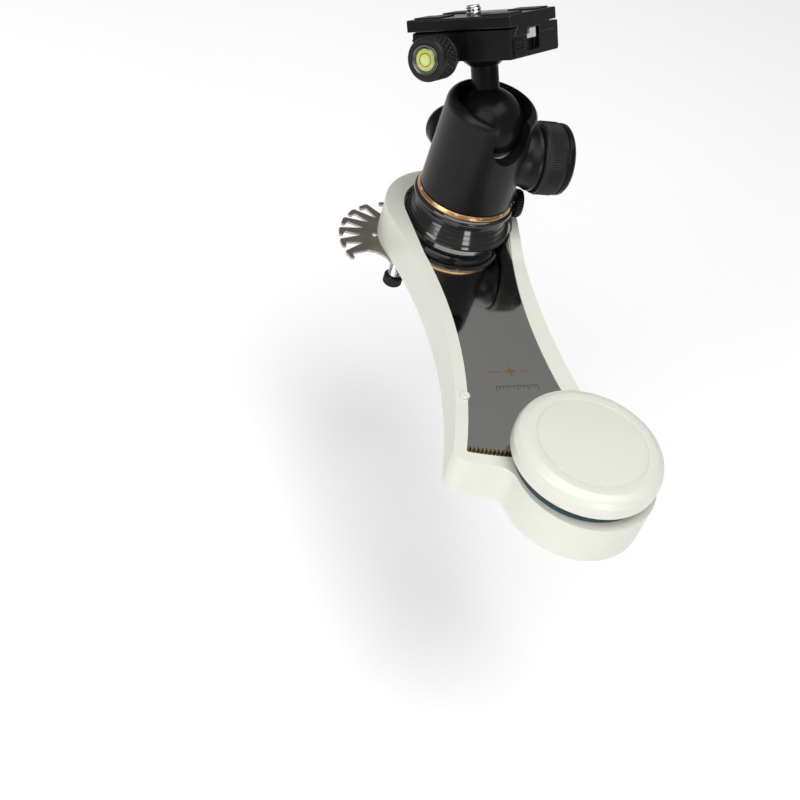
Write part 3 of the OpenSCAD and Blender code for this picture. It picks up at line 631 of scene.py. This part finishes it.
def make_underside():
    """Cover with soft edges, threaded sockets, screw heads and the nut under the polar axis."""
    cover = cad_copy("bottom_cover", "base_cover")
    bevel(cover, 0.25, 2, 50)
    piece(cover, "tracker_body", BLACK, "black_anodised", "base_cover")
    for name, node, pitch in (("tripod_bush", "tripod_socket", 1.5875), ("accessory_bush", "accessory_socket", 1.27)):
        place, tall, outer = foot_of(node)
        bore = {m["name"]: m for m in frame["record"]["mounts"]}[node]["dims"]["r_mm"]
        bush = thread(name, bore, 0.45, pitch, 0, tall, place, inside=True, outer=outer)
        piece(bush, "tracker_body", ZINC, "zinc", node)
    for name, node, body in (("cover_screws", "case_screws", "tracker_body"),
                             ("axis_nut", "retaining_nut", "polar_drive"),
                             ("axis_screws", "shaft_screws", "polar_drive")):
        part = cad_copy(name, node)
        bevel(part, 0.15, 2, 50)
        piece(part, body, STEEL, "steel", node)


# ---------------------------------------------------------------- ball head

def make_head_base():
    """Polished stepped base with a rounded collar, and the copper-gold panning scale on it."""
    collar = arc_points((21.3, 12.2), 1.35, -112, 58, 12)
    flare = rounded([(4.8, 0.02), (24, 0.02, 0.15), (24, 0.5, 0.2), (23.2, 2.1, 0.1), (22.9, 2.15, 0.05),
                     (22.2, 3.9, 0.1), (21.9, 3.95, 0.05), (21.2, 5.7, 0.1), (20.9, 5.75, 0.05), (20.1, 7.6, 0.6),
                     (19.9, 8.9, 0.8), (20.5, 10.1, 0.4), collar[0]])
    inner = rounded([collar[-1], (20.6, 14.1, 0.2), (12, 14.1), (12, 24, 0.2), (4.8, 24)])
    base = lathe("pan_base", flare + collar[1:] + inner[1:] + [(4.8, 0.02)], POLAR, 144)
    bore = lathe("bore", [(0, 10), (2.05, 10), (2.05, 30), (0, 30)], PAN, 32)
    carve(base, bore)
    shade(base, 24)
    piece(base, "polar_drive", GLOSS, "black_gloss", "head_base")

    low, band_low, high, wide, narrow = 14.12, 14.5, 15.9, 21.5, 20.8
    ring = lathe("scale_ring", rounded([(12, low), (21.6, low, 0.15), (wide, band_low, 0.15), (narrow, high, 0.2),
                                        (12, high)], closed=True), POLAR, 144, closed=True)
    piece(ring, "polar_drive", GOLD, "gold_scale", "pan_scale")
    marks = []
    for k in range(72):
        numbered = k % 6 == 0
        t0, t1 = (0.08, 0.22) if numbered else (0.08, 0.34)
        marks.append(scale_tick(5 * k, t0, t1, wide, band_low, narrow, high))
    ticks = joined("scale_ticks", marks)
    piece(ticks, "polar_drive", DARK_INK, "gold_scale")
    numbers = joined("scale_numbers", [scale_number(30 * k, wide, band_low, narrow, high) for k in range(12)])
    piece(numbers, "polar_drive", WHITE_INK, "gold_scale")


def scale_tick(angle, t0, t1, wide, low, narrow, high):
    """Thin dark line across the scale's sloping band, from share t0 to share t1 of its height."""
    bm = bmesh.new()
    half, sunk, proud = 0.11, -0.03, 0.02
    turn = Matrix.Rotation(math.radians(angle), 4, "Z")
    corners = []
    for t in (t0, t1):
        r = wide + (narrow - wide) * t
        z = low + (high - low) * t
        for side in (-half, half):
            for lift in (sunk, proud):
                corners.append(bm.verts.new(turn @ Vector((r + lift, side, z))))
    for quad in ((0, 1, 3, 2), (4, 6, 7, 5), (0, 4, 5, 1), (2, 3, 7, 6), (1, 5, 7, 3), (0, 2, 6, 4)):
        bm.faces.new([corners[i] for i in quad])
    return finish_mesh(bm, "tick", POLAR)


def scale_number(angle, wide, low, narrow, high):
    """Degree number standing on the scale's sloping band."""
    text = bpy.data.curves.new("number", "FONT")
    text.body = str(angle)
    text.size = 1.25 * MM
    text.extrude = 0.02 * MM
    text.align_x = "CENTER"
    text.align_y = "CENTER"
    obj = bpy.data.objects.new("number", text)
    bpy.context.scene.collection.objects.link(obj)
    share = 0.6
    slope_up = Vector((narrow - wide, 0, high - low)).normalized()
    out = Vector((high - low, 0, wide - narrow)).normalized()
    spot = Vector((wide + (narrow - wide) * share, 0, low + (high - low) * share)) + out * 0.01
    side = slope_up.cross(out)
    turn = Matrix((side, slope_up, out)).transposed().to_4x4()
    spin = Matrix.Rotation(math.radians(angle), 4, "Z")
    origin = Matrix.Translation(joint_spot("polar_turn"))
    obj.matrix_world = origin @ spin @ Matrix.Translation(spot * MM) @ turn
    bpy.context.view_layer.update()
    mesh = bpy.data.meshes.new_from_object(obj)
    mesh.transform(obj.matrix_world)
    bpy.data.objects.remove(obj)
    return new_object("number", mesh)


def ribs(count, depth, z0, z1, sharp=1.0, slant=0):
    """Radius change for straight or slanted ribs between two heights."""
    def shape(a, r, z):
        if not z0 - 1e-6 <= z <= z1 + 1e-6:
            return r
        wave = 0.5 + 0.5 * math.cos(count * a + slant * (z - z0))
        return r - depth * (1 - wave) ** sharp
    return shape


def make_head():
    """Ball housing, ball and neck, with the lock, friction and pan knobs."""
    housing = cad_copy("ball_housing", "head_housing")
    bevel(housing, 0.55, 4, 38)
    piece(housing, "ball_head", BLACK_HEAD, "black_anodised", "head_housing")

    ball_r = (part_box("ball")[1].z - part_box("ball")[0].z) / MM / 2
    sphere = [(ball_r * math.cos(math.radians(a)), ball_r * math.sin(math.radians(a))) for a in range(-90, 91, 3)]
    piece(lathe("pivot_ball", sphere, BALL, 128), "ball", BLACK, "black_anodised", "ball")

    foot, neck_r = 15.03, 5.75
    stem = [(0, foot), (neck_r, math.sqrt(foot ** 2 - neck_r ** 2)), (neck_r, 16.5), (neck_r, 23.0, 0.6),
            (10.0, 26.5, 0.3), (10.0, 26.86), (4, 26.86), (4, 31.15), (0, 31.15)]
    piece(lathe("neck", rounded(stem), CLAMP, 96), "stem", BLACK, "black_anodised", "stem")

    rim = 15.85
    z_low, z_high = 27.3, 34.5
    rows = [(rim, z_low + (z_high - z_low) * i / 6) for i in range(7)]
    knob = rounded([(3.05, 25.3), (13.9, 25.3, 0.2), (14.9, 25.6, 0.3), (15.5, 26.3, 0.3), (15.5, 27.0, 0.1),
                    (rim, z_low)]) + rows[1:]
    knob += rounded([rows[-1], (15.2, 34.7, 0.1), (15.1, 36.0, 0.1), (3.05, 36.0)])[1:]
    grip = lathe("lock_knob", knob, LOCK, 576, ribs(96, 0.34, z_low, z_high, 1.4))
    piece(grip, "ball_lock", RUBBER, "rubber", "lock_grip")
    cap = rounded([(0, 36.07), (15.2, 36.07, 0.1), (15.6, 36.5, 0.3), (15.5, 38.2, 0.7), (14.4, 39.4, 0.8),
                   (10.2, 39.75, 0.2), (9.9, 39.4, 0.1), (0, 39.3)])
    piece(lathe("lock_knob_cap", cap, LOCK, 128), "ball_lock", BLACK, "black_anodised", "lock_cap")

    small = rounded([(2.55, 21.62), (8.8, 21.62, 0.5), (10.3, 22.5, 0.7), (10.65, 24.0, 0.6), (10.6, 28.4, 2.0),
                     (9.2, 30.7, 1.2), (6.6, 31.15, 0.4), (6.2, 30.8, 0.1), (2.55, 30.7)])
    piece(lathe("friction_knob", small, FRICTION, 96), "friction_lock", BLACK, "black_anodised", "friction_grip")

    pan = rounded([(0, 22.85), (5.8, 22.85, 0.2), (6.35, 23.3, 0.2), (6.35, 23.6), (6.35, 24.5), (6.35, 25.4, 0.2),
                   (5.8, 26.3, 0.4), (4.2, 26.45, 0.1), (4.0, 26.2, 0.1), (0, 26.15)])
    piece(lathe("pan_lock_knob", pan, PAN, 192, ribs(32, 0.25, 23.5, 25.5)), "pan_lock", BLACK, "black_anodised",
          "pan_knob")


# ---------------------------------------------------------------- clamp

def make_clamp():
    """Clamp, jaw and quick-release plate with worn edges, its pads, pin and camera stud."""
    for name, node, body, edge in (("clamp_body", "clamp_base", "clamp", 0.45),
                                   ("clamp_jaw_block", "clamp_jaw", "jaw", 0.4),
                                   ("camera_plate", "qr_plate", "quick_plate", 0.4)):
        part = paint(cad_copy(name, node), BLACK, WORN_EDGE)
        bevel(part, edge, 2, 40, edge_slot=1)
        piece(part, body, None, "black_anodised", node)
    blocks = []
    for column in range(3):
        for row in range(6):
            w, k = -18.0 + 3.6 * column, 27.6 + 1.15 * row
            blocks.append(block("rib", (23.0, w, k), (23.8, w + 3.0, k + 0.75), CLAMP, 0.15))
    piece(joined("jaw_grip_ribs", blocks), "jaw", BLACK, "black_anodised")
    pads = cad_copy("plate_pads", "qr_pads")
    bevel(pads, 0.15, 2, 50)
    piece(pads, "quick_plate", RUBBER, "rubber", "qr_pads")
    pin = cad_copy("spring_pin", "safety_pin")
    bevel(pin, 0.25, 3, 50)
    piece(pin, "safety_pin", NICKEL, "steel", "safety_pin")

    stud_r, stud_low, stud_top = 3.175, 43.9, 47.0
    screw = shifted(CLAMP, -3.5)
    shank = thread("camera_stud", stud_r, 0.45, 1.27, stud_low, stud_top, screw, tip=0.8)
    neck = lathe("stud_neck", [(0, 39.0), (2.48, 39.0), (2.48, 44.0), (0, 44.0)], screw, 48)
    head = lathe("stud_head", rounded([(0, 36.2), (8, 36.2, 0.3), (8, 39.3, 0.3), (0, 39.3)]), screw, 72)
    carve(head, block("slot", (-10, -0.8, 35), (10, 0.8, 37.4), screw))
    stud = joined("camera_stud_screw", [shank, neck, head])
    shade(stud, 40)
    piece(stud, "camera_screw", CHROME, "zinc", "camera_screw")


def make_clamp_knob():
    """Knurled clamp knob with staggered ribs and a bubble level in its end."""
    rim = 8.6
    rows_from, rows_to, bands = 26.6, 33.6, 3

    def tread(a, r, z):
        if not rows_from <= z <= rows_to or r < rim - 0.1:
            return r
        share = (z - rows_from) / (rows_to - rows_from) * bands
        band = min(int(share), bands - 1)
        inside = share - band
        edge = min(1, 6 * min(inside, 1 - inside))
        wave = 0.5 + 0.5 * math.cos(26 * a + math.pi * band + 1.2 * inside)
        return r - 0.5 * (1 - edge * min(1, 1.6 * wave))

    rows = [(rim, rows_from + (rows_to - rows_from) * i / 36) for i in range(37)]
    body = rounded([(2.25, 17.7), (5.2, 17.7, 0.3), (5.2, 24.0, 0.3), (7.4, 24.4, 0.5), (rim, 25.4, 0.5), (rim, 26.2)])
    body += rows
    body += rounded([(rim, 34.0), (rim, 35.3, 0.6), (8.0, 36.3, 0.4), (6.2, 36.4, 0.2), (5.97, 36.0, 0.1), (5.97, 34.6),
                     (2.25, 34.6)])
    grip = lathe("clamp_knob", body, GRIP, 312, tread, smooth_angle=40)
    piece(grip, "clamp_knob", RUBBER, "rubber", "clamp_grip")
    ring = rounded([(4.42, 34.62), (5.94, 34.62), (5.94, 36.5, 0.2), (5.7, 36.7, 0.1), (5.2, 36.4, 0.4),
                    (4.8, 36.45, 0.3), (4.55, 36.8, 0.1), (4.42, 36.6, 0.05)], closed=True)
    piece(lathe("level_ring", ring, GRIP, 96, closed=True), "clamp_knob", DULL_ZINC, "zinc", "level_bezel")
    dome = [(0, 34.65), (4.4, 34.65), (4.4, 36.1)]
    dome += [(4.35 * math.cos(math.radians(a)), 36.1 + 0.3 * math.sin(math.radians(a))) for a in range(0, 91, 9)]
    piece(lathe("level_glass", dome, GRIP, 96), "clamp_knob", VIAL, "vial", "level_vial")
    mark = [(2.55 + 0.2 * math.cos(math.radians(a)), 36.36 + 0.06 * math.sin(math.radians(a)))
            for a in range(0, 360, 30)]
    piece(lathe("level_circle", mark, GRIP, 96, closed=True), "clamp_knob", RED, "red_mark", "level_mark")
    bubble = [(1.75 * math.cos(math.radians(a)), 36.37 + 0.12 * math.sin(math.radians(a))) for a in range(0, 91, 10)]
    piece(lathe("level_bubble", bubble, shifted(GRIP, -0.2, 0.25), 64), "clamp_knob", BUBBLE, "vial")


# ---------------------------------------------------------------- spring comb

def make_comb():
    """Sprung plate with eight hooked fingers, on its threaded thumbscrew."""
    centre = Vector((0.2, -22.6))
    boss = POLAR.inverted() @ joint_spot("thumbscrew_turn")
    tip, root, pitch, first, wide_gap = 29.1, 19.3, 16.5, 283.9, 5.9
    high = (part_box("comb")[1].z - joint_spot("polar_turn").z) / MM
    low = (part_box("comb")[0].z - joint_spot("polar_turn").z) / MM
    outline = []
    for i in range(8):
        turn = math.radians(first - pitch * i - (wide_gap if i > 5 else 0))
        finger = [(root - 0.2, 0.95, 0.4), (tip - 2.5, 1.2, 0.6), (tip - 2.15, 4.3, 0.3), (tip - 0.45, 4.0, 0.4),
                  (tip + 0.05, 0.4, 1.2), (tip - 0.3, -0.95, 0.8), (root - 0.2, -3.9 if i != 5 else -3.2, 0.4)]
        for x, y, radius in finger:
            outline.append((centre.x + x * math.cos(turn) - y * math.sin(turn),
                            centre.y + x * math.sin(turn) + y * math.cos(turn), radius))
    for angle, reach in ((150, 15), (110, 9), (70, 8.8)):
        outline.append((centre.x + reach * math.cos(math.radians(angle)),
                        centre.y + reach * math.sin(math.radians(angle)), 3))
    outline += [(boss.x + x, boss.y + y, 0) for x, y in arc_points((0, 0), 5.2, 85, -75, 14)]
    outline += [(11.2, -32.4, 2), (8.4, -34.6, 2), (6.6, -37.2, 2), (5.5, -40.6, 1)]
    plate = prism("comb_plate", rounded(outline, closed=True), low, high, POLAR)
    stud_hole = lathe("hole", [(0, low - 1), (2.6, low - 1), (2.6, high + 1), (0, high + 1)],
                      shifted(POLAR, boss.x, boss.y), 32)
    square = block("square", (-1.05, -1.05, low - 1), (1.05, 1.05, high + 1),
                   shifted(POLAR, -5, -34.5) @ Matrix.Rotation(math.radians(30), 4, "Z"))
    carve(plate, stud_hole, square)
    bevel(plate, 0.15, 2, 50)
    piece(plate, "comb", SPRING, "spring_steel", "comb")
    paint_sides(plate, RAW_EDGE)

    under = shifted(POLAR, boss.x, boss.y, low - 0.05) @ Matrix.Rotation(math.radians(180), 4, "X")
    stud = thread("thumb_thread", 2.95, 0.42, 1.0, 0, 8.1, under, tip=0.3)
    shank = lathe("shank", [(0, -8), (2.48, -8), (2.48, 0.1), (0, 0.1)], under, 32)
    screw = joined("thumb_screw_stud", [stud, shank])
    shade(screw, 50)
    piece(screw, "thumbscrew", ZINC, "zinc", "thumb_stud")
    rows = [(4.3, 9.2 + 3.0 * i / 4) for i in range(5)]
    cap = rounded([(0, 8.4), (3.7, 8.4, 0.2), (4.3, 8.9, 0.2), rows[0]]) + rows[1:]
    cap += rounded([rows[-1], (4.3, 12.5, 0.3), (3.7, 13.1, 0.4), (0, 13.15)])[1:]
    piece(lathe("thumb_screw_cap", cap, under, 240, ribs(40, 0.22, 9.2, 12.2)), "thumbscrew", RUBBER, "rubber",
          "thumb_cap")


# ---------------------------------------------------------------- stage

def make_stage():
    """Pale floor under the object and soft lights."""
    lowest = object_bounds()[0][2]
    drop, half = 0.10, 4.0
    mesh = bpy.data.meshes.new("floor")
    mesh.from_pydata([(-half, -half, 0), (half, -half, 0), (half, half, 0), (-half, half, 0)], [], [(0, 1, 2, 3)])
    floor = new_object("floor", mesh)
    floor.location = (0, 0, lowest - drop)
    paint(floor, finish("pale_floor", (0.95, 0.95, 0.95), (0.96, 0.96, 0.96), (0.7, 0.8), 0,
                        grain=40, depth=0.1, blotch=3, specular=0.1))

    world = bpy.data.worlds.new("studio")
    world.use_nodes = True
    world.node_tree.nodes["Background"].inputs["Color"].default_value = (1, 1, 1, 1)
    world.node_tree.nodes["Background"].inputs["Strength"].default_value = 0.28
    bpy.context.scene.world = world
    bpy.context.scene.view_settings.view_transform = "Standard"

    centre = Vector((0, 0, 0.03))
    softbox("key_light", centre + Vector((0.64, -0.85, 1.1)), centre, (1.5, 0.9), 11)
    softbox("top_light", centre + Vector((0.3, 0.3, 2.6)), centre, (2.2, 2.2), 49)
    softbox("front_strip", centre + Vector((0.44, -1.14, 0.46)), centre, (0.5, 0.4), 3.1)
    softbox("low_fill", centre + Vector((1.25, 0.15, 0.12)), centre, (0.3, 0.5), 3)


def softbox(name, spot, aim, size, power):
    """Rectangular light of a width and height in metres, facing the aim."""
    light = bpy.data.lights.new(name, "AREA")
    light.shape = "RECTANGLE"
    light.size, light.size_y = size
    light.energy = power
    obj = bpy.data.objects.new(name, light)
    obj.location = spot
    obj.rotation_euler = (spot - aim).to_track_quat("Z", "Y").to_euler()
    bpy.context.scene.collection.objects.link(obj)


def make_camera():
    """Camera above the winding knob's side, turned so that the polar axis leans to the right."""
    spot = Vector((0.3390, -0.2084, 0.3229))
    forward = Vector((-0.63497, 0.34832, -0.68956)).normalized()
    roll = math.radians(18.28)
    lens = 54
    level_right = forward.cross(Vector((0, 0, 1))).normalized()
    level_up = level_right.cross(forward)
    up = level_up * math.cos(roll) - level_right * math.sin(roll)
    right = forward.cross(up)
    turn = Matrix((right, up, -forward)).transposed()
    data = bpy.data.cameras.new("camera")
    data.lens = lens
    data.sensor_width = 36
    data.clip_start = 0.01
    camera = bpy.data.objects.new("camera", data)
    camera.matrix_world = Matrix.Translation(spot) @ turn.to_4x4()
    bpy.context.scene.collection.objects.link(camera)
    bpy.context.scene.camera = camera


make_camera()
make_stage()
dress_cad(IVORY, "stop_peg")
dress_cad(TEAL, "dial_ring")
dress_cad(BLACK, "base_cover", "pan_knob", "friction_grip", "lock_cap", "ball", "stem", "clamp_base", "clamp_jaw",
          "qr_plate")
dress_cad(BLACK_HEAD, "head_housing")
dress_cad(GLOSS, "head_base")
dress_cad(RUBBER, "lock_grip", "clamp_grip", "qr_pads", "thumb_cap")
dress_cad(MIRROR, "sector_deck")
dress_cad(STEEL, "case_screws", "bed_plate", "timer_case", "winder_shaft", "mainspring", "polar_shaft",
          "shaft_screws", "retaining_nut", "pan_ring", "pan_screw", "cup_spring", "lock_screw", "friction_screw",
          "stem_screw", "jaw_guides", "clamp_screw", "safety_pin")
dress_cad(ZINC, "tripod_socket", "accessory_socket", "level_bezel", "camera_screw", "thumb_stud")
dress_cad(BRASS, "polar_bearing", "thumb_insert", "timer_plate", "drive_pinion", "mainspring_barrel", "third_wheel",
          "escape_wheel", "thrust_washer", "lock_pusher")
dress_cad(SPRING, "comb")
dress_cad(GOLD, "pan_scale")
dress_cad(NYLON, "ball_cup")
dress_cad(VIAL, "level_vial")
dress_cad(RED, "level_mark")
make_body()
make_winding_knob()
make_deck()
make_pod_trim()
make_underside()
make_head_base()
make_head()
make_clamp()
make_clamp_knob()
make_comb()
